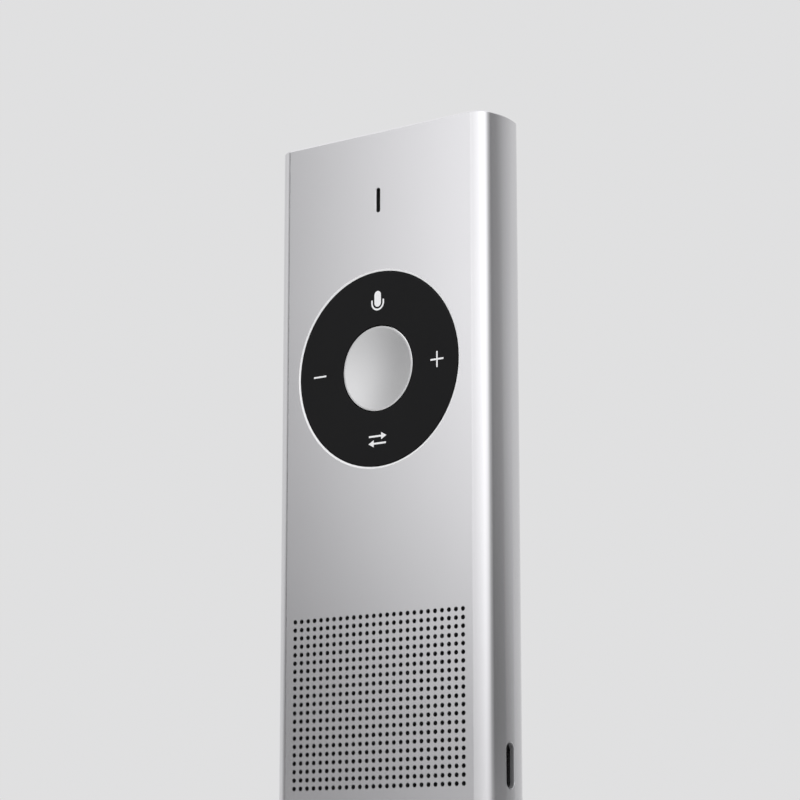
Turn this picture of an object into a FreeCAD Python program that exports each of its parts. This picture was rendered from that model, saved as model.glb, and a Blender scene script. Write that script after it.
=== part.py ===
import FreeCAD, Part
import math
import os

# Handheld translator, in millimetres.
# +Z runs up the standing body, -Y is the front with the keys, +X the side with the port.
# The origin is the middle of the underside.

V = FreeCAD.Vector

WIDTH = 40.2
THICKNESS = 10.4
LENGTH = 122.0
WALL = 0.8
SIDE_RADIUS = 14.0
EDGE_RADIUS = 2.4
RIM_CHAMFER = 0.25

FRONT = -THICKNESS / 2
INSIDE_FRONT = FRONT + WALL
INSIDE_BACK = THICKNESS / 2 - WALL

PITCH = 1.25
GRILLE_COLUMNS = 26
GRILLE_ROWS = 21
GRILLE_HOLE = 0.7
GRILLE_BOTTOM = 22.4

KEY_Z = 84.8
APERTURE_RADIUS = 15.02
RING_RADIUS = 14.88
RING_BORE = 6.66
BUTTON_RADIUS = 6.52
RING_BACK = -3.8
PIVOT_Y = -2.6
BOARD_FRONT = -1.3
BOARD_BACK = -0.7
DOME_HEIGHT = 0.5
DIRECTION_RADIUS = 13.2

MIC_Z = 111.1
MIC_SLOT_LENGTH = 3.9
MIC_SLOT_WIDTH = 0.74

PORT_Z = 25.0
PORT_Y = 0.15
PORT_LENGTH = 6.6
PORT_HEIGHT = 1.95

MAIN_BOARD_FRONT = 2.0
MAIN_BOARD_BACK = 2.8

os.makedirs("parts", exist_ok=True)


def box(x0, x1, y0, y1, z0, z1):
    return Part.makeBox(x1 - x0, y1 - y0, z1 - z0, V(x0, y0, z0))


def rod_y(radius, y0, y1, x, z):
    return Part.makeCylinder(radius, y1 - y0, V(x, y0, z), V(0, 1, 0))


def rod_x(radius, x0, x1, y, z):
    return Part.makeCylinder(radius, x1 - x0, V(x0, y, z), V(1, 0, 0))


def rod_z(radius, z0, z1, x, y):
    return Part.makeCylinder(radius, z1 - z0, V(x, y, z0), V(0, 0, 1))


def tube_y(outer, inner, y0, y1, x, z):
    return rod_y(outer, y0, y1, x, z).cut(rod_y(inner, y0 - 1, y1 + 1, x, z))


def fuse(shapes):
    whole = shapes[0]
    if len(shapes) > 1:
        whole = shapes[0].multiFuse(shapes[1:])
    return whole.removeSplitter()


def rounded_plate(x0, x1, z0, z1, radius, y0, y1):
    """A plate lying in XZ with round corners."""
    plate = box(x0, x1, y0, y1, z0, z1)
    corners = [e for e in plate.Edges if abs(e.tangentAt(e.FirstParameter).y) > 0.9]
    return plate.makeFillet(radius, corners)


def slot_y(length, width, y0, y1, x, z, along_z):
    """A round-ended slot cut through along Y."""
    half = (length - width) / 2
    radius = width / 2
    if along_z:
        ends = [(x, z - half), (x, z + half)]
        middle = box(x - radius, x + radius, y0, y1, z - half, z + half)
    else:
        ends = [(x - half, z), (x + half, z)]
        middle = box(x - half, x + half, y0, y1, z - radius, z + radius)
    return fuse([middle] + [rod_y(radius, y0, y1, a, b) for a, b in ends])


def slot_x(length, width, x0, x1, y, z):
    """A round-ended slot along Z, cut through along X."""
    half = (length - width) / 2
    radius = width / 2
    middle = box(x0, x1, y - radius, y + radius, z - half, z + half)
    return fuse([middle, rod_x(radius, x0, x1, y, z - half), rod_x(radius, x0, x1, y, z + half)])


def body_section(inset, z0, z1):
    """The body's cross-section, shrunk by inset: flat front and back, gently bowed sides."""
    half_t = THICKNESS / 2 - inset
    side = SIDE_RADIUS - inset
    edge = EDGE_RADIUS - inset
    side_x = WIDTH / 2 - SIDE_RADIUS
    rise = THICKNESS / 2 - EDGE_RADIUS
    edge_x = side_x + math.sqrt((SIDE_RADIUS - EDGE_RADIUS) ** 2 - rise ** 2)
    angle = math.atan2(rise, edge_x - side_x)

    tangent = V(side_x + side * math.cos(angle), side * math.sin(angle), 0)
    middle = (math.pi / 2 + angle) / 2
    bend = V(edge_x + edge * math.cos(middle), rise + edge * math.sin(middle), 0)
    flat = V(edge_x, half_t, 0)
    tip = V(side_x + side, 0, 0)

    def turned(point, sx, sy):
        return V(point.x * sx, point.y * sy, z0)

    curves = []
    for sx in (1, -1):
        curves.append(Part.Arc(turned(tangent, sx, -1), turned(tip, sx, 1), turned(tangent, sx, 1)))
        for sy in (1, -1):
            corner = [turned(tangent, sx, sy), turned(bend, sx, sy), turned(flat, sx, sy)]
            curves.append(Part.Arc(corner[0], corner[1], corner[2]))
    edges = [c.toShape() for c in curves]
    for sy in (1, -1):
        edges.append(Part.makeLine(turned(flat, -1, sy), turned(flat, 1, sy)))
    wire = Part.Wire(Part.__sortEdges__(edges))
    return Part.Face(wire).extrude(V(0, 0, z1 - z0))


def screw(radius, head_radius, head_height, length, x, y, z, axis):
    """A pan head with a hexagonal socket; the shank runs from the head's seat along axis."""
    head = Part.makeCylinder(head_radius, head_height, V(x, y, z), axis * -1)
    shank = Part.makeCylinder(radius, length, V(x, y, z), axis)
    rim = [e for e in head.Edges if e.Curve.TypeId == "Part::GeomCircle"]
    top = max(rim, key=lambda e: e.CenterOfMass.sub(V(x, y, z)).dot(axis * -1))
    head = head.makeFillet(head_height * 0.35, [top])
    socket = Part.makePolygon([
        V(head_radius * 0.5 * math.cos(math.radians(60 * k)),
          head_radius * 0.5 * math.sin(math.radians(60 * k)), 0) for k in range(7)])
    socket = Part.Face(socket).extrude(V(0, 0, head_height * 0.6))
    socket.Placement = FreeCAD.Placement(
        V(x, y, z) + axis * -head_height, FreeCAD.Rotation(V(0, 0, 1), axis))
    return fuse([head, shank]).cut(socket)


def save(node, shapes):
    shape = shapes[0] if len(shapes) == 1 else Part.makeCompound(shapes)
    shape.exportStep("parts/" + node + ".step")


# Housing: an extruded sleeve, drilled, with a plug at each end.

def rim_chamfered(sleeve):
    ends = []
    for edge in sleeve.Edges:
        box_ = edge.BoundBox
        at_end = box_.ZLength < 1e-6 and (abs(box_.ZMin) < 1e-6 or abs(box_.ZMin - LENGTH) < 1e-6)
        if at_end:
            ends.append(edge)
    return sleeve.makeChamfer(RIM_CHAMFER, ends)


def grille_holes():
    holes = []
    for column in range(GRILLE_COLUMNS):
        x = (column - (GRILLE_COLUMNS - 1) / 2) * PITCH
        for row in range(GRILLE_ROWS):
            z = GRILLE_BOTTOM + row * PITCH
            holes.append(rod_y(GRILLE_HOLE / 2, FRONT - 0.5, INSIDE_FRONT + 0.3, x, z))
    return Part.makeCompound(holes)


def aperture_bevel():
    width = 0.28
    depth = 0.1
    return Part.makeCone(APERTURE_RADIUS + width, APERTURE_RADIUS, depth, V(0, FRONT, KEY_Z), V(0, 1, 0))


sleeve = rim_chamfered(body_section(0, 0, LENGTH))
sleeve = sleeve.cut(body_section(WALL, -1, LENGTH + 1))
sleeve = sleeve.cut(rod_y(APERTURE_RADIUS, FRONT - 1, INSIDE_FRONT + 0.5, 0, KEY_Z))
sleeve = sleeve.cut(aperture_bevel())
sleeve = sleeve.cut(slot_y(MIC_SLOT_LENGTH, MIC_SLOT_WIDTH, FRONT - 1, INSIDE_FRONT + 0.5, 0, MIC_Z, True))
sleeve = sleeve.cut(
    slot_y(MIC_SLOT_LENGTH + 0.24, MIC_SLOT_WIDTH + 0.24, FRONT - 1, FRONT + 0.12, 0, MIC_Z, True))
sleeve = sleeve.cut(slot_x(PORT_LENGTH, PORT_HEIGHT, WIDTH / 2 - 2, WIDTH / 2 + 1, PORT_Y, PORT_Z))
lip = [e for e in sleeve.Edges
       if e.BoundBox.XMin > WIDTH / 2 - 0.15 and e.BoundBox.ZMin > PORT_Z - PORT_LENGTH
       and e.BoundBox.ZMax < PORT_Z + PORT_LENGTH]
sleeve = sleeve.makeChamfer(0.1, lip)
sleeve = sleeve.cut(grille_holes())
save("body_shell", [sleeve])

PLUG = WALL + 0.03
top_cap = body_section(PLUG, LENGTH - 1.5, LENGTH - 0.2)
top_skirt = body_section(PLUG, LENGTH - 3.3, LENGTH - 1.5).cut(
    body_section(PLUG + 1.0, LENGTH - 4, LENGTH - 1))
save("top_cap", [fuse([top_cap, top_skirt])])

CAP_SCREW_X = 13.5
bottom_cap = body_section(PLUG, 0, 1.5)
bottom_skirt = body_section(PLUG, 1.5, 3.3).cut(body_section(PLUG + 1.0, 1, 4))
bottom_cap = fuse([bottom_cap, bottom_skirt])
for x in (-CAP_SCREW_X, CAP_SCREW_X):
    bottom_cap = bottom_cap.cut(rod_z(1.45, -1, 0.9, x, 0))
    bottom_cap = bottom_cap.cut(rod_z(0.75, -1, 2, x, 0))
save("bottom_cap", [bottom_cap])
save("cap_screws", [
    screw(0.7, 1.35, 0.7, 4.6, x, 0, 0.9, V(0, 0, 1)) for x in (-CAP_SCREW_X, CAP_SCREW_X)])

# Chassis: a moulded tray that slides up the sleeve and carries every board.

CHASSIS_BOTTOM = 3.4
CHASSIS_TOP = LENGTH - 3.4
rails = body_section(WALL + 0.06, CHASSIS_BOTTOM, CHASSIS_TOP)
rails = rails.cut(box(-18.0, 18.0, -9, 9, 0, LENGTH))
floor_plate = box(-18.2, 18.2, BOARD_BACK, 0.0, 54.0, CHASSIS_TOP)
cross_bars = [
    box(-18.2, 18.2, 0.0, MAIN_BOARD_FRONT, 51.5, 56.0),
    box(-18.2, 18.2, 0.0, 2.6, 106.0, 109.0),
]
end_blocks = [box(min(s * 10.5, s * 18.2), max(s * 10.5, s * 18.2), -3.4, MAIN_BOARD_FRONT,
                  CHASSIS_BOTTOM, 9.0) for s in (-1, 1)]
MIC_POSTS = (-4.6, 4.6)
mic_posts = [rod_y(1.2, -2.4, BOARD_BACK, x, MIC_Z) for x in MIC_POSTS]
chassis = fuse([rails, floor_plate] + cross_bars + end_blocks + mic_posts)
chassis = chassis.cut(box(13.6, 21, PORT_Y - 1.5, MAIN_BOARD_FRONT + 0.1, PORT_Z - 4.1, PORT_Z + 4.1))
for x in (-CAP_SCREW_X, CAP_SCREW_X):
    chassis = chassis.cut(rod_z(0.7, 3, 5.6, x, 0))
for x in MIC_POSTS:
    chassis = chassis.cut(rod_y(0.5, -3, -1.0, x, MIC_Z))

BOARD_SCREWS = [(s * 15.6, z) for s in (-1, 1) for z in (7.4, 53.6)]
for x, z in BOARD_SCREWS:
    chassis = chassis.cut(rod_y(0.6, MAIN_BOARD_FRONT - 1.6, 3, x, z))
KEY_SCREWS = [(s * 16.2, KEY_Z + t * 17.0) for s in (-1, 1) for t in (-1, 1)]
for x, z in KEY_SCREWS:
    chassis = chassis.cut(rod_y(0.6, -2, 0.5, x, z))
FLEX_GATE = box(-6.2, 6.2, -1, 3, 57.2, 58.6)
chassis = chassis.cut(FLEX_GATE)
save("chassis", [chassis])

# Key module: a two-axis rocker ring around a push button.

key_board = rounded_plate(-17.6, 17.6, KEY_Z - 18.6, KEY_Z + 18.4, 1.2, BOARD_FRONT, BOARD_BACK)
for x, z in KEY_SCREWS:
    key_board = key_board.cut(rod_y(0.65, -3, 1, x, z))
STAKES = [(9.6 * math.cos(math.radians(a)), KEY_Z + 9.6 * math.sin(math.radians(a)))
          for a in (45, 135, 225, 315)]
for x, z in STAKES:
    key_board = key_board.cut(rod_y(0.5, -3, 1, x, z))
save("key_board", [key_board])
save("key_board_screws", [
    screw(0.6, 1.2, 0.6, 1.2, x, BOARD_FRONT, z, V(0, 1, 0)) for x, z in KEY_SCREWS])


def dome(radius, x, z):
    """A snap dome: a thin spherical cap standing on the board."""
    sphere = (radius ** 2 + DOME_HEIGHT ** 2) / (2 * DOME_HEIGHT)
    centre = V(x, BOARD_FRONT - DOME_HEIGHT + sphere, z)
    skin = Part.makeSphere(sphere, centre).cut(Part.makeSphere(sphere - 0.08, centre))
    return skin.common(rod_y(radius + 1, BOARD_FRONT - 2, BOARD_FRONT, x, z))


def around(radius, angles):
    return [(radius * math.cos(math.radians(a)), KEY_Z + radius * math.sin(math.radians(a)))
            for a in angles]


save("dome_centre", [dome(2.5, 0, KEY_Z)])
save("domes_sides", [dome(1.25, x, z) for x, z in around(DIRECTION_RADIUS, (0, 180))])
save("domes_ends", [dome(1.25, x, z) for x, z in around(DIRECTION_RADIUS, (90, 270))])

POST_INNER = 10.15
POST_OUTER = 11.5
guide = tube_y(11.7, 4.6, -1.7, BOARD_FRONT, 0, KEY_Z)
collar = tube_y(7.3, 5.97, -3.2, -1.7, 0, KEY_Z)
posts = [box(min(s * POST_INNER, s * POST_OUTER), max(s * POST_INNER, s * POST_OUTER),
             -3.3, -1.7, KEY_Z - 1.2, KEY_Z + 1.2) for s in (-1, 1)]
stakes = [rod_y(0.5, BOARD_FRONT, BOARD_BACK, x, z) for x, z in STAKES]
guide = fuse([guide, collar] + posts + stakes)
for s in (-1, 1):
    guide = guide.cut(box(-0.6, 0.6, -2.85, -1.7, min(KEY_Z + s * 5.0, KEY_Z + s * 6.55),
                          max(KEY_Z + s * 5.0, KEY_Z + s * 6.55)))
guide = guide.cut(rod_x(0.4, -12, -9, PIVOT_Y, KEY_Z))
guide = guide.cut(rod_x(0.4, 9, 12, PIVOT_Y, KEY_Z))
save("key_guide", [guide])

rocker = tube_y(9.85, 8.2, PIVOT_Y - 0.6, PIVOT_Y + 0.6, 0, KEY_Z)
rocker = rocker.cut(rod_x(0.35, -12, -7, PIVOT_Y, KEY_Z)).cut(rod_x(0.35, 7, 12, PIVOT_Y, KEY_Z))
rocker = rocker.cut(rod_z(0.4, KEY_Z - 12, KEY_Z - 7, 0, PIVOT_Y))
rocker = rocker.cut(rod_z(0.4, KEY_Z + 7, KEY_Z + 12, 0, PIVOT_Y))
save("rocker_frame", [rocker])
save("rocker_pins", [rod_x(0.35, min(s * 8.3, s * 11.4), max(s * 8.3, s * 11.4), PIVOT_Y, KEY_Z)
                     for s in (-1, 1)])

ring = tube_y(RING_RADIUS, RING_BORE, FRONT, RING_BACK, 0, KEY_Z)
front_edges = [e for e in ring.Edges
               if abs(e.BoundBox.YMin - FRONT) < 1e-6 and e.BoundBox.YLength < 1e-6]
ring = ring.makeFillet(0.12, front_edges)
lugs = [box(-1.3, 1.3, RING_BACK, -2.1, min(KEY_Z + s * 10.15, KEY_Z + s * 11.4),
            max(KEY_Z + s * 10.15, KEY_Z + s * 11.4)) for s in (-1, 1)]
nubs = [rod_y(0.55, RING_BACK, -2.13, x, z) for x, z in around(DIRECTION_RADIUS, (0, 90, 180, 270))]
ring = fuse([ring] + lugs + nubs)
for s in (-1, 1):
    ring = ring.cut(rod_z(0.35, min(KEY_Z + s * 10, KEY_Z + s * 12), max(KEY_Z + s * 10, KEY_Z + s * 12),
                          0, PIVOT_Y))
save("ring_pins", [rod_z(0.35, min(KEY_Z + s * 8.4, KEY_Z + s * 11.35),
                         max(KEY_Z + s * 8.4, KEY_Z + s * 11.35), 0, PIVOT_Y) for s in (-1, 1)])

# Symbols: white inlays in the ring, flush with its face.

INLAY = 0.15
MARK_RADIUS = 11.1
STROKE = 0.26


def bar(x0, x1, z0, z1):
    return box(x0, x1, FRONT, FRONT + INLAY, z0, z1)


def triangle(points):
    wire = Part.makePolygon([V(x, FRONT, z) for x, z in points + points[:1]])
    return Part.Face(wire).extrude(V(0, INLAY, 0))


def microphone_mark(x, z):
    capsule = slot_y(2.45, 1.24, FRONT, FRONT + INLAY, x, z + 0.58, True)
    cradle = tube_y(1.22, 0.94, FRONT, FRONT + INLAY, x, z)
    cradle = cradle.common(bar(x - 2, x + 2, z - 2, z))
    arms = [bar(x - 1.22, x - 0.94, z, z + 0.45), bar(x + 0.94, x + 1.22, z, z + 0.45)]
    return [capsule, fuse([cradle] + arms)]


def arrow_mark(x, z, way):
    shaft = bar(min(x - way * 1.6, x + way * 0.9), max(x - way * 1.6, x + way * 0.9),
                z - 0.14, z + 0.14)
    head = triangle([(x + way * 1.7, z), (x + way * 0.7, z + 0.55), (x + way * 0.7, z - 0.55)])
    return fuse([shaft, head])


plus = fuse([bar(MARK_RADIUS - 1.2, MARK_RADIUS + 1.2, KEY_Z - STROKE / 2, KEY_Z + STROKE / 2),
             bar(MARK_RADIUS - STROKE / 2, MARK_RADIUS + STROKE / 2, KEY_Z - 1.22, KEY_Z + 1.22)])
minus = bar(-MARK_RADIUS - 1.2, -MARK_RADIUS + 1.2, KEY_Z - STROKE / 2, KEY_Z + STROKE / 2)
marks = microphone_mark(0, KEY_Z + 10.18) + [plus, minus]
marks += [arrow_mark(0, KEY_Z - 10.4, 1), arrow_mark(0, KEY_Z - 11.5, -1)]
for mark in marks:
    ring = ring.cut(mark)
save("ring_key", [ring])
save("key_marks", marks)

# Push button: a dished metal cap on a moulded carrier that slides in the collar.

cap = rod_y(BUTTON_RADIUS, FRONT, -4.1, 0, KEY_Z)
cap = cap.makeChamfer(0.07, [e for e in cap.Edges
                             if abs(e.BoundBox.YMin - FRONT) < 1e-6 and e.BoundBox.YLength < 1e-6])
DISH_DEPTH = 0.4
DISH_RADIUS = BUTTON_RADIUS - 0.3
ball = (DISH_RADIUS ** 2 + DISH_DEPTH ** 2) / (2 * DISH_DEPTH)
cap = cap.cut(Part.makeSphere(ball, V(0, FRONT + DISH_DEPTH - ball, KEY_Z)))
save("button_cap", [cap])
carrier = fuse([
    rod_y(5.92, -4.1, -3.5, 0, KEY_Z),
    tube_y(5.92, 5.2, -3.5, -2.3, 0, KEY_Z),
    rod_y(1.4, -3.5, -2.24, 0, KEY_Z),
    box(-0.5, 0.5, -2.8, -2.3, KEY_Z + 5.5, KEY_Z + 6.5),
    box(-0.5, 0.5, -2.8, -2.3, KEY_Z - 6.5, KEY_Z - 5.5),
])
save("button_carrier", [carrier])

# Loudspeaker behind the drilled field.

SPEAKER_Z = GRILLE_BOTTOM + (GRILLE_ROWS - 1) * PITCH / 2
save("grille_cloth", [box(-17.2, 17.2, INSIDE_FRONT, INSIDE_FRONT + 0.15,
                          SPEAKER_Z - 14.5, SPEAKER_Z + 14.5)])
gasket = rounded_plate(-17.2, 17.2, SPEAKER_Z - 14.5, SPEAKER_Z + 14.5, 1.0, INSIDE_FRONT + 0.15, -3.75)
gasket = gasket.cut(box(-16.1, 16.1, -9, 0, SPEAKER_Z - 13.2, SPEAKER_Z + 13.2))
save("speaker_gasket", [gasket])

CONE_X = 14.6
CONE_Z = 11.6
frame = rounded_plate(-17.2, 17.2, SPEAKER_Z - 14.5, SPEAKER_Z + 14.5, 1.0, -3.75, -0.95)
frame = frame.cut(rounded_plate(-CONE_X, CONE_X, SPEAKER_Z - CONE_Z, SPEAKER_Z + CONE_Z, 6.0, -4, -1.4))
frame = frame.cut(rod_y(8.5, -2, 0, 0, SPEAKER_Z))
for s in (-1, 1):
    frame = frame.cut(slot_y(12, 2.0, -2, 0, s * 11.2, SPEAKER_Z, True))
    frame = frame.cut(rod_y(0.7, -5, 0, s * 15.8, SPEAKER_Z + 13.1))
    frame = frame.cut(rod_y(0.7, -5, 0, s * 15.8, SPEAKER_Z - 13.1))
frame = frame.cut(box(13.9, 18, PORT_Y - 1.5, 0, PORT_Z - 4.1, PORT_Z + 4.1))
save("speaker_frame", [frame])

# The diaphragm: flat surround, raised roll and a domed middle.
surround = rounded_plate(-CONE_X, CONE_X, SPEAKER_Z - CONE_Z, SPEAKER_Z + CONE_Z, 6.0, -3.1, -2.9)
roll = rounded_plate(-12.8, 12.8, SPEAKER_Z - 9.8, SPEAKER_Z + 9.8, 4.8, -3.55, -3.1)
roll = roll.makeFillet(0.4, [e for e in roll.Edges
                             if abs(e.BoundBox.YMax + 3.55) < 1e-6 and e.BoundBox.YLength < 1e-6])
roll = roll.cut(rounded_plate(-11.3, 11.3, SPEAKER_Z - 8.3, SPEAKER_Z + 8.3, 4.0, -4, -3))
cap_ball = (5.0 ** 2 + 0.55 ** 2) / (2 * 0.55)
middle = Part.makeSphere(cap_ball, V(0, -3.65 + cap_ball, SPEAKER_Z))
middle = middle.common(rod_y(5.6, -4.5, -3.1, 0, SPEAKER_Z))
save("speaker_cone", [fuse([surround, roll, middle])])
save("voice_coil", [tube_y(5.0, 4.75, -2.9, -1.75, 0, SPEAKER_Z)])
yoke = rod_y(8.5, -1.4, -0.95, 0, SPEAKER_Z).fuse(tube_y(8.5, 7.6, -2.5, -1.4, 0, SPEAKER_Z))
save("speaker_yoke", [yoke.removeSplitter()])
save("speaker_magnet", [rod_y(4.3, -2.5, -1.4, 0, SPEAKER_Z)])

# Main board with its chips, the charging port and the antenna.

board = rounded_plate(-17.4, 17.4, 5.6, 55.4, 1.0, MAIN_BOARD_FRONT, MAIN_BOARD_BACK)
for x, z in BOARD_SCREWS:
    board = board.cut(rod_y(0.65, 0, 4, x, z))
save("main_board", [board])
save("main_board_screws", [
    screw(0.6, 1.2, 0.6, 2.3, x, MAIN_BOARD_BACK, z, V(0, -1, 0)) for x, z in BOARD_SCREWS])


def chip(x, z, width, height, thickness):
    """A package on the front of the board with a pin-one dimple."""
    body = box(x - width / 2, x + width / 2, MAIN_BOARD_FRONT - thickness, MAIN_BOARD_FRONT,
               z - height / 2, z + height / 2)
    dimple = rod_y(0.35, MAIN_BOARD_FRONT - thickness - 0.1, MAIN_BOARD_FRONT - thickness + 0.1,
                   x - width / 2 + 1, z + height / 2 - 1)
    return body.cut(dimple)


save("processor", [chip(-5.0, 38.5, 11.0, 11.0, 1.0)])
save("memory", [chip(6.5, 40.0, 8.0, 10.0, 0.8)])
save("audio_amplifier", [chip(-9.5, 15.5, 4.0, 4.0, 0.8)])
PASSIVES = [(-13.5, 24.0), (-13.5, 26.0), (-13.5, 28.0), (-13.5, 30.0), (-13.5, 44.0),
            (-11.5, 46.5), (-8.5, 46.5), (-5.5, 46.5), (0.5, 46.5), (3.5, 47.5),
            (-4.5, 14.5), (-4.5, 16.5), (-1.0, 14.5), (-1.0, 16.5), (12.6, 34.0), (12.6, 36.0)]
save("passives", [box(x - 0.8, x + 0.8, MAIN_BOARD_FRONT - 0.7, MAIN_BOARD_FRONT, z - 0.4, z + 0.4)
                  for x, z in PASSIVES])
shield = box(-14.0, 2.0, MAIN_BOARD_BACK, 4.1, 12.0, 30.0)
shield = shield.cut(box(-13.8, 1.8, MAIN_BOARD_BACK - 1, 3.9, 12.2, 29.8))
save("radio_shield", [shield])
save("radio_chip", [box(-9.5, -2.5, MAIN_BOARD_BACK, 3.7, 17.0, 24.0)])

port = box(14.2, 19.1, PORT_Y - 1.35, MAIN_BOARD_FRONT, PORT_Z - 3.85, PORT_Z + 3.85)
port = port.cut(slot_x(7.1, 2.1, 14.6, 21, PORT_Y, PORT_Z))
save("port_shell", [port])
liner = slot_x(PORT_LENGTH, PORT_HEIGHT, WIDTH / 2 - 0.75, WIDTH / 2 - 0.2, PORT_Y, PORT_Z)
liner = liner.cut(slot_x(PORT_LENGTH - 0.22, PORT_HEIGHT - 0.22, 19, 21, PORT_Y, PORT_Z))
save("port_liner", [liner])
save("port_tongue", [box(14.6, 18.3, PORT_Y - 0.3, PORT_Y + 0.3, PORT_Z - 2.4, PORT_Z + 2.4)])

save("antenna", [box(-10.5, 10.5, 0.6, 1.2, CHASSIS_BOTTOM, 8.6)])

# Battery behind the key module.

save("battery_cell", [rounded_plate(-16.8, 16.8, 60.4, 102.0, 1.2, 0.25, 4.15)])
save("battery_pad", [box(-14.0, 14.0, 0.0, 0.25, 63.0, 99.0)])
save("battery_guard", [box(-9.0, 9.0, 1.0, 1.8, 102.0, 106.0)])
save("battery_plug", [box(6.2, 12.0, MAIN_BOARD_BACK, 4.0, 49.0, 53.5)])

# The flat cable between the boards, folded through the gate in the chassis.
cable = fuse([
    box(-5.5, 5.5, BOARD_BACK, BOARD_BACK + 0.2, 56.6, 57.4).common(FLEX_GATE),
    box(-5.5, 5.5, BOARD_BACK, MAIN_BOARD_BACK + 0.2, 57.4, 57.6),
    box(-5.5, 5.5, MAIN_BOARD_BACK, MAIN_BOARD_BACK + 0.2, 50.0, 57.6),
])
tail = box(-5.5, 5.5, -0.9, -0.7, 57.4, 66.2)
save("board_cable", [fuse([cable, tail])])

# Microphone behind the slot near the top.

save("mic_mesh", [box(-1.6, 1.6, INSIDE_FRONT, INSIDE_FRONT + 0.1, MIC_Z - 3.0, MIC_Z + 3.0)])
boot = rounded_plate(-2.6, 2.6, MIC_Z - 3.6, MIC_Z + 3.6, 1.0, INSIDE_FRONT + 0.1, -3.0)
boot = boot.cut(slot_y(4.2, 1.0, -9, 0, 0, MIC_Z, True))
save("mic_boot", [boot])
mic_board = rounded_plate(-6.4, 6.4, MIC_Z - 4.0, MIC_Z + 4.0, 1.0, -3.0, -2.4)
mic_board = mic_board.cut(rod_y(0.5, -5, 0, 0, MIC_Z))
for x in MIC_POSTS:
    mic_board = mic_board.cut(rod_y(0.55, -5, 0, x, MIC_Z))
save("mic_board", [mic_board])
save("microphone", [box(-1.75, 1.75, -2.4, -1.3, MIC_Z - 1.35, MIC_Z + 1.35)])
save("mic_board_screws", [screw(0.5, 0.95, 0.45, 1.9, x, -3.0, MIC_Z, V(0, 1, 0)) for x in MIC_POSTS])
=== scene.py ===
import bpy, bmesh, math
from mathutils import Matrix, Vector

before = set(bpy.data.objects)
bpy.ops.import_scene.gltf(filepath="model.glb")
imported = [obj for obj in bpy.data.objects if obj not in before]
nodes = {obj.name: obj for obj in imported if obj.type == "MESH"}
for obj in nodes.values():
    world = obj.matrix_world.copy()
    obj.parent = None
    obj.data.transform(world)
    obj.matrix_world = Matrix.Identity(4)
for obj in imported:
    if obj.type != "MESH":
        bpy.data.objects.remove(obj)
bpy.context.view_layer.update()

# Where the sleeve's front face, key opening and port lie on the CAD, in metres.
FRONT = -0.0052
KEY_Z = 0.0848
BEVEL_RADIUS = 0.01530
BEVEL_DEPTH = 0.00012
PORT_Y, PORT_Z = 0.00015, 0.0250
PORT_HALF_LENGTH = 0.002325
PORT_REACH = 0.00110

# Painted highlight: a near-white colour on the chamfer round the key opening, made mostly non-metal
# so that it shows evenly all round.
BEVEL_PAINTED_HIGHLIGHT = (0.86, 0.86, 0.87, 1)
BEVEL_HIGHLIGHT_DIFFUSE = 0.9
# Painted shade: a darker metal tone round the port's edge.
PORT_EDGE_SHADE = (0.42, 0.42, 0.43, 1)
FINE_SHARE = 0.4
RING_SPECULAR = 0.12
CLOTH_PITCH = 1.5e-4
CLOTH_RELIEF = 3e-5
CLOTH_CROSSING = 0.3


# Materials

class Tree:
    """A node tree, with short calls for the nodes used here."""

    def __init__(self, owner):
        owner.use_nodes = True
        self.tree = owner.node_tree
        self.tree.nodes.clear()

    def add(self, kind, **settings):
        node = self.tree.nodes.new(kind)
        for key, value in settings.items():
            setattr(node, key, value)
        return node

    def link(self, a, b):
        self.tree.links.new(a, b)

    def ramp(self, value, low, high, a, b, **settings):
        node = self.add("ShaderNodeMapRange", **settings)
        for key, number in (("From Min", low), ("From Max", high), ("To Min", a), ("To Max", b)):
            node.inputs[key].default_value = number
        self.link(value, node.inputs["Value"])
        return node.outputs[0]

    def math(self, operation, a, b=0.0):
        node = self.add("ShaderNodeMath", operation=operation)
        for socket, value in zip(node.inputs, (a, b)):
            if isinstance(value, (int, float)):
                socket.default_value = value
            else:
                self.link(value, socket)
        return node.outputs[0]

    def length(self, a, b):
        squares = (self.math("MULTIPLY", a, a), self.math("MULTIPLY", b, b))
        return self.math("SQRT", self.math("ADD", *squares))

    def split(self, vector):
        node = self.add("ShaderNodeSeparateXYZ")
        self.link(vector, node.inputs[0])
        return node.outputs


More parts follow.
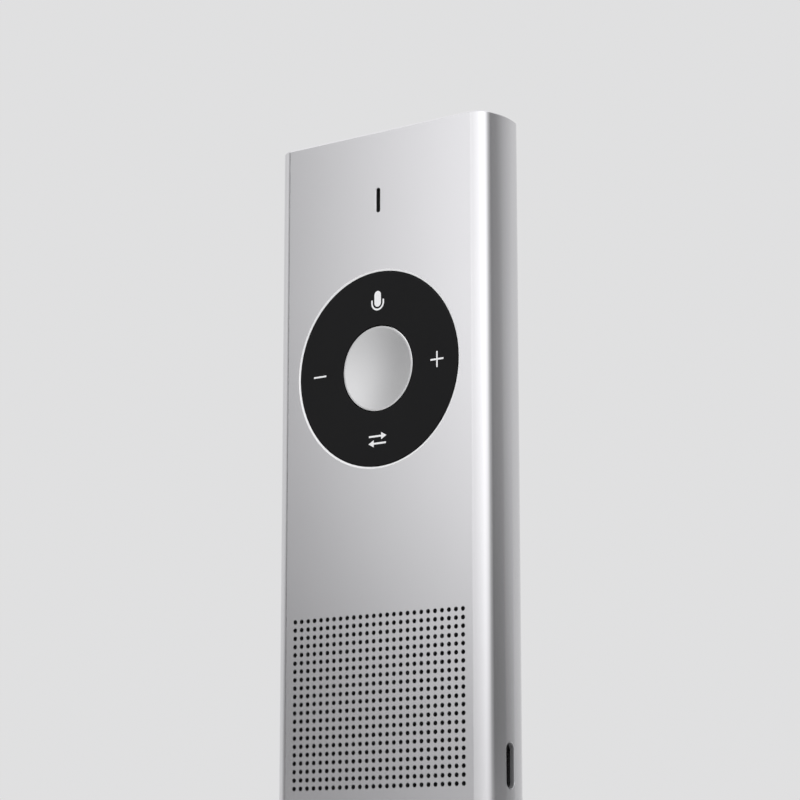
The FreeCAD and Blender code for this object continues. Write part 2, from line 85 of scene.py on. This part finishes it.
class Build(Tree):
    """A material with one principled shader, placed by the object's own coordinates."""

    def __init__(self, name):
        self.mat = bpy.data.materials.new(name)
        super().__init__(self.mat)
        self.out = self.add("ShaderNodeOutputMaterial")
        self.bsdf = self.add("ShaderNodeBsdfPrincipled")
        self.link(self.bsdf.outputs[0], self.out.inputs[0])
        self.place = self.add("ShaderNodeTexCoord").outputs["Object"]

    def set(self, **sockets):
        for key, value in sockets.items():
            self.bsdf.inputs[key.replace("_", " ")].default_value = value

    def scaled(self, scale):
        mapping = self.add("ShaderNodeMapping")
        mapping.inputs["Scale"].default_value = scale
        self.link(self.place, mapping.inputs["Vector"])
        return mapping.outputs[0]

    def noise(self, scale, detail=3.0, rough=0.5, stretch=(1, 1, 1)):
        node = self.add("ShaderNodeTexNoise")
        node.inputs["Scale"].default_value = scale
        node.inputs["Detail"].default_value = detail
        node.inputs["Roughness"].default_value = rough
        self.link(self.scaled(stretch), node.inputs["Vector"])
        return node.outputs["Fac"]

    def colours(self, value, dark, light):
        node = self.add("ShaderNodeMix", data_type="RGBA")
        node.inputs["A"].default_value = (*dark, 1)
        node.inputs["B"].default_value = (*light, 1)
        self.link(value, node.inputs["Factor"])
        return node.outputs["Result"]

    def colour(self, socket):
        self.link(socket, self.bsdf.inputs["Base Color"])

    def recolour(self, mask, colour):
        """Lays one colour over the base colour where the mask is 1."""
        mix = self.add("ShaderNodeMix", data_type="RGBA")
        self.link(mask, mix.inputs["Factor"])
        self.link(self.bsdf.inputs["Base Color"].links[0].from_socket, mix.inputs["A"])
        mix.inputs["B"].default_value = colour
        self.colour(mix.outputs["Result"])

    def rough(self, socket):
        self.link(socket, self.bsdf.inputs["Roughness"])

    def bump(self, height, distance):
        node = self.add("ShaderNodeBump")
        node.inputs["Strength"].default_value = 1.0
        node.inputs["Distance"].default_value = distance
        self.link(height, node.inputs["Height"])
        self.link(node.outputs[0], self.bsdf.inputs["Normal"])


def grained(name, dark, light, grain, rough, metal=0.0, bump=2e-6, stretch=(1, 1, 1)):
    """A surface with fine grain in its relief and roughness and a slow drift in its colour."""
    m = Build(name)
    m.set(Metallic=metal)
    fine = m.noise(grain, 2.0, 0.6, stretch)
    slow = m.noise(60, 2.0, 0.5)
    blend = m.math("ADD", m.math("MULTIPLY", fine, FINE_SHARE),
                   m.math("MULTIPLY", slow, 1 - FINE_SHARE))
    m.colour(m.colours(m.ramp(blend, 0.3, 0.7, 0, 1), dark, light))
    m.rough(m.ramp(fine, 0.25, 0.75, rough[0], rough[1]))
    m.bump(fine, bump)
    return m


def blasted_aluminium():
    """Fine-blasted metal, with a painted highlight on the chamfer round the key opening and painted
    shade round the port's edge.
    """
    m = grained("blasted_aluminium", (0.717, 0.712, 0.728), (0.737, 0.732, 0.748), 7000,
                (0.205, 0.225), 1.0, 1e-7)
    x, y, z = m.split(m.place)
    key_reach = m.length(x, m.math("SUBTRACT", z, KEY_Z))
    # The chamfer round the key opening gets a near-white, mostly non-metal colour: a painted
    # highlight.
    bevel_highlight = m.math("MULTIPLY", m.math("LESS_THAN", key_reach, BEVEL_RADIUS),
                   m.math("LESS_THAN", y, FRONT + BEVEL_DEPTH))
    m.link(m.math("SUBTRACT", 1.0, m.math("MULTIPLY", bevel_highlight, BEVEL_HIGHLIGHT_DIFFUSE)),
           m.bsdf.inputs["Metallic"])
    # Round the port's edge, on the right side, the metal's colour is painted darker: painted shade.
    along = m.math("ABSOLUTE", m.math("SUBTRACT", z, PORT_Z))
    along = m.math("MAXIMUM", m.math("SUBTRACT", along, PORT_HALF_LENGTH), 0.0)
    port_reach = m.length(along, m.math("SUBTRACT", y, PORT_Y))
    port_edge_shade = m.math("MULTIPLY", m.math("LESS_THAN", port_reach, PORT_REACH),
                 m.math("GREATER_THAN", x, 0.0))
    m.recolour(bevel_highlight, BEVEL_PAINTED_HIGHLIGHT)
    m.recolour(port_edge_shade, PORT_EDGE_SHADE)
    return m


def woven(name, dark, light, pitch):
    """Plain weave seen from the front: warp and weft pass over each other."""
    m = Build(name)
    x, _, z = m.split(m.scaled((math.pi / pitch,) * 3))
    warp, weft = m.math("SINE", x), m.math("SINE", z)
    over = m.math("MULTIPLY", m.math("ABSOLUTE", warp), m.math("ABSOLUTE", weft))
    crossing = m.math("MULTIPLY", m.math("MULTIPLY", warp, weft), CLOTH_CROSSING)
    height = m.math("ADD", over, crossing)
    # The colour follows the weave's height, darker where a thread dips under the other: painted
    # shade between the threads.
    m.colour(m.colours(m.ramp(height, 0.0, 1.0, 0, 1), dark, light))
    m.set(Roughness=0.9)
    m.bump(height, CLOTH_RELIEF)
    return m


# Each look: name, dark and light colour, grain, roughness, and where needed metal, relief, stretch.
materials = {
    "shell": blasted_aluminium(),
    "cap": grained("cap_aluminium", (0.55, 0.55, 0.555), (0.60, 0.60, 0.605), 7000,
                   (0.28, 0.36), 1.0, 3e-7),
    "button": grained("button_aluminium", (0.66, 0.66, 0.665), (0.71, 0.71, 0.715), 7000,
                      (0.32, 0.38), 1.0, 2.5e-7),
    "grey": grained("grey_plastic", (0.36, 0.37, 0.38), (0.42, 0.43, 0.44), 6000, (0.45, 0.6)),
    "liner": grained("port_plastic", (0.15, 0.15, 0.155), (0.20, 0.20, 0.205), 6000, (0.5, 0.65)),
    "ring": grained("ring_plastic", (0.0055, 0.0055, 0.006), (0.0075, 0.0075, 0.008), 8000,
                    (0.42, 0.52), 0.0, 4e-7),
    "mark": grained("mark_ink", (0.78, 0.78, 0.79), (0.86, 0.86, 0.87), 9000, (0.5, 0.6)),
    "black": grained("black_plastic", (0.010, 0.010, 0.011), (0.018, 0.018, 0.019), 5000,
                     (0.45, 0.6)),
    "cream": grained("cream_plastic", (0.55, 0.54, 0.50), (0.63, 0.62, 0.58), 5000, (0.4, 0.55)),
    "steel": grained("steel", (0.50, 0.50, 0.51), (0.60, 0.60, 0.61), 3000, (0.22, 0.34), 1.0,
                     1e-6, (1, 1, 6)),
    "board": grained("board", (0.010, 0.075, 0.035), (0.018, 0.115, 0.055), 900, (0.25, 0.38)),
    "chip": grained("chip", (0.012, 0.012, 0.013), (0.022, 0.022, 0.024), 7000, (0.5, 0.65)),
    "foam": grained("foam", (0.010, 0.010, 0.010), (0.030, 0.030, 0.030), 3500, (0.85, 0.95),
                    0.0, 3e-5),
    "silicone": grained("silicone", (0.02, 0.02, 0.021), (0.035, 0.035, 0.037), 4000, (0.5, 0.7)),
    "film": grained("cone_film", (0.02, 0.02, 0.022), (0.05, 0.05, 0.053), 1500, (0.3, 0.45)),
    "copper": grained("copper", (0.50, 0.20, 0.09), (0.66, 0.30, 0.14), 2500, (0.2, 0.3), 1.0,
                      2e-6, (1, 12, 1)),
    "nickel": grained("nickel", (0.50, 0.49, 0.47), (0.58, 0.57, 0.55), 2500, (0.12, 0.22), 1.0),
    "foil": grained("foil", (0.34, 0.36, 0.39), (0.44, 0.46, 0.49), 700, (0.25, 0.4), 0.6, 8e-6),
    "amber": grained("amber_film", (0.22, 0.08, 0.01), (0.32, 0.13, 0.02), 1200, (0.25, 0.35)),
    "cloth": woven("speaker_cloth", (0.001, 0.001, 0.001), (0.010, 0.010, 0.010), CLOTH_PITCH),
}
materials["ring"].set(Specular_IOR_Level=RING_SPECULAR)

looks = {
    "shell": ["body_shell"],
    "cap": ["top_cap"],
    "button": ["button_cap"],
    "grey": ["bottom_cap"],
    "liner": ["port_liner"],
    "ring": ["ring_key"],
    "mark": ["key_marks"],
    "black": ["chassis", "key_guide", "speaker_frame", "port_tongue"],
    "cream": ["rocker_frame", "button_carrier", "passives", "battery_plug"],
    "steel": ["cap_screws", "key_board_screws", "main_board_screws", "mic_board_screws",
              "dome_centre", "domes_sides", "domes_ends", "rocker_pins", "ring_pins",
              "speaker_yoke", "radio_shield", "port_shell"],
    "board": ["key_board", "main_board", "battery_guard", "mic_board"],
    "chip": ["processor", "memory", "audio_amplifier", "radio_chip"],
    "foam": ["speaker_gasket", "battery_pad"],
    "silicone": ["mic_boot"],
    "film": ["speaker_cone"],
    "copper": ["voice_coil"],
    "nickel": ["speaker_magnet", "microphone"],
    "foil": ["battery_cell"],
    "amber": ["antenna", "board_cable"],
    "cloth": ["grille_cloth", "mic_mesh"],
}

for look, names in looks.items():
    for name in names:
        node = nodes[name]
        if not node.data.materials:
            node.data.materials.append(None)
        for slot in node.material_slots:
            slot.material = materials[look].mat


# Stage: a pale floor that fades into the backdrop's colour.

BACKGROUND = (0.745, 0.745, 0.75)
FLOOR_DARK, FLOOR_LIGHT = (0.78, 0.78, 0.78), (0.80, 0.80, 0.80)
FLOOR_RADIUS = 3.0
FLOOR_Z = -0.00005
FADE_FROM, FADE_TO = 0.25, 0.9


def stage_material():
    """Lit near the object, the backdrop's colour further out, in mirrors and glass too."""
    m = Build("floor")
    m.set(Roughness=0.9)
    m.colour(m.colours(m.ramp(m.noise(8), 0.3, 0.7, 0, 1), FLOOR_DARK, FLOOR_LIGHT))
    glow = m.add("ShaderNodeEmission")
    glow.inputs["Color"].default_value = (*BACKGROUND, 1)
    away = m.add("ShaderNodeVectorMath", operation="LENGTH")
    m.link(m.place, away.inputs[0])
    fade = m.ramp(away.outputs["Value"], FADE_FROM, FADE_TO, 0, 1)
    path = m.add("ShaderNodeLightPath")
    seen = m.math("MAXIMUM", path.outputs["Is Camera Ray"], path.outputs["Is Glossy Ray"])
    seen = m.math("MAXIMUM", seen, path.outputs["Is Transmission Ray"])
    mix = m.add("ShaderNodeMixShader")
    m.link(m.math("MULTIPLY", fade, seen), mix.inputs[0])
    m.link(m.bsdf.outputs[0], mix.inputs[1])
    m.link(glow.outputs[0], mix.inputs[2])
    m.link(mix.outputs[0], m.out.inputs[0])
    return m


def disc(name, radius, z):
    mesh = bpy.data.meshes.new(name)
    bm = bmesh.new()
    bmesh.ops.create_circle(bm, cap_ends=True, segments=96, radius=radius)
    bmesh.ops.translate(bm, verts=bm.verts, vec=(0, 0, z))
    bm.to_mesh(mesh)
    bm.free()
    obj = bpy.data.objects.new(name, mesh)
    bpy.context.scene.collection.objects.link(obj)
    return obj


floor = disc("floor", FLOOR_RADIUS, FLOOR_Z)
floor.data.materials.append(stage_material().mat)

# The studio round the object, by compass bearing from the front (-Y) towards +X: a broad
# bright screen in front, shade at the right, and the plain backdrop behind and at the left.
# Each row holds the bearing, its level, and the share of that level left at the horizon. The
# camera and the metal see the same studio.
BEARINGS = [
    (-180, 0.745, 1.00), (-79, 0.745, 1.00), (-66, 0.86, 0.45),
    (-56, 0.86, 0.25), (-49, 0.05, 0.00), (-41.5, 0.05, 0.00), (-34.5, 1.67, 0.22),
    (-24, 1.15, 0.45), (20, 1.36, 0.45), (60, 1.65, 0.45), (82, 1.35, 0.40), (100, 0.60, 0.30),
    (114, 0.22, 0.15), (126, 0.29, 0.15), (142, 0.52, 0.32), (158, 0.66, 0.60),
    (171, 0.745, 1.00), (180, 0.745, 1.00)]

# The ramp holds levels up to 1, so they are divided by TOP and multiplied back. Heights are the
# sine of the elevation: the horizon's share ends at HORIZON_END, the walls dim higher up, and
# the ceiling takes over between the two heights of CEILING.
TOP = 2.0
HORIZON_END = 0.2
WALL_DIMS, WALL_DIMMED = (0.4, 0.7), 0.6
CEILING, CEILING_LEVEL = (0.52, 0.76), 1.05


def build_world(world):
    w = Tree(world)

    def smooth(value, low, high, a, b):
        return w.ramp(value, low, high, a, b, interpolation_type="SMOOTHSTEP")

    x, y, height = w.split(w.add("ShaderNodeTexCoord").outputs["Generated"])
    bearing = w.math("ARCTAN2", x, w.math("MULTIPLY", y, -1.0))
    ramp = w.add("ShaderNodeValToRGB")
    w.link(w.math("ADD", w.math("MULTIPLY", bearing, 0.5 / math.pi), 0.5), ramp.inputs[0])
    stops = ramp.color_ramp.elements
    while len(stops) < len(BEARINGS):
        stops.new(0.5)
    for stop, (angle, level, share) in zip(stops, BEARINGS):
        stop.position = angle / 360 + 0.5
        stop.color = (level / TOP, share, 0, 1)
    parts = w.add("ShaderNodeSeparateColor")
    w.link(ramp.outputs["Color"], parts.inputs[0])
    share = parts.outputs[1]
    risen = smooth(height, 0.0, HORIZON_END, 0.0, 1.0)
    kept = w.math("ADD", share, w.math("MULTIPLY", risen, w.math("SUBTRACT", 1.0, share)))
    level = w.math("MULTIPLY", w.math("MULTIPLY", parts.outputs[0], TOP), kept)
    level = w.math("MULTIPLY", level, smooth(height, *WALL_DIMS, 1.0, WALL_DIMMED))
    ceiling = smooth(height, *CEILING, 0.0, 1.0)
    level = w.math("ADD", w.math("MULTIPLY", level, w.math("SUBTRACT", 1.0, ceiling)),
                   w.math("MULTIPLY", ceiling, CEILING_LEVEL))
    lit = w.add("ShaderNodeBackground")
    lit.inputs[0].default_value = (*(part / BACKGROUND[0] for part in BACKGROUND), 1)
    w.link(level, lit.inputs[1])
    w.link(lit.outputs[0], w.add("ShaderNodeOutputWorld").inputs[0])


studio = bpy.data.worlds.new("studio")
bpy.context.scene.world = studio
build_world(studio)


def softbox(name, place, aim, width, height, watts):
    lamp = bpy.data.lights.new(name, "AREA")
    lamp.shape = "RECTANGLE"
    lamp.size, lamp.size_y = width, height
    lamp.energy = watts
    obj = bpy.data.objects.new(name, lamp)
    bpy.context.scene.collection.objects.link(obj)
    obj.location = place
    obj.rotation_euler = (Vector(aim) - Vector(place)).to_track_quat("-Z", "Y").to_euler()


softbox("top", place=(0.15, -0.25, 0.9), aim=(0, 0, 0.05), width=0.6, height=0.6, watts=1.5)

# Camera, fitted to the photograph: it stands near the floor at the front right and looks up.

SENSOR_WIDTH = 36.0
FOCAL_LENGTH = 114.22
CAMERA_PLACE = (0.2282, -0.3024, 0.0060)
LOOKS_UP, LOOKS_LEFT = 11.16, 37.00

camera = bpy.data.cameras.new("camera")
camera.sensor_width = SENSOR_WIDTH
camera.lens = FOCAL_LENGTH
camera.clip_start, camera.clip_end = 0.01, 50.0
eye = bpy.data.objects.new("camera", camera)
bpy.context.scene.collection.objects.link(eye)
eye.location = CAMERA_PLACE
eye.rotation_euler = (math.radians(90 + LOOKS_UP), 0.0, math.radians(LOOKS_LEFT))
bpy.context.scene.camera = eye
bpy.context.scene.view_settings.view_transform = "Standard"
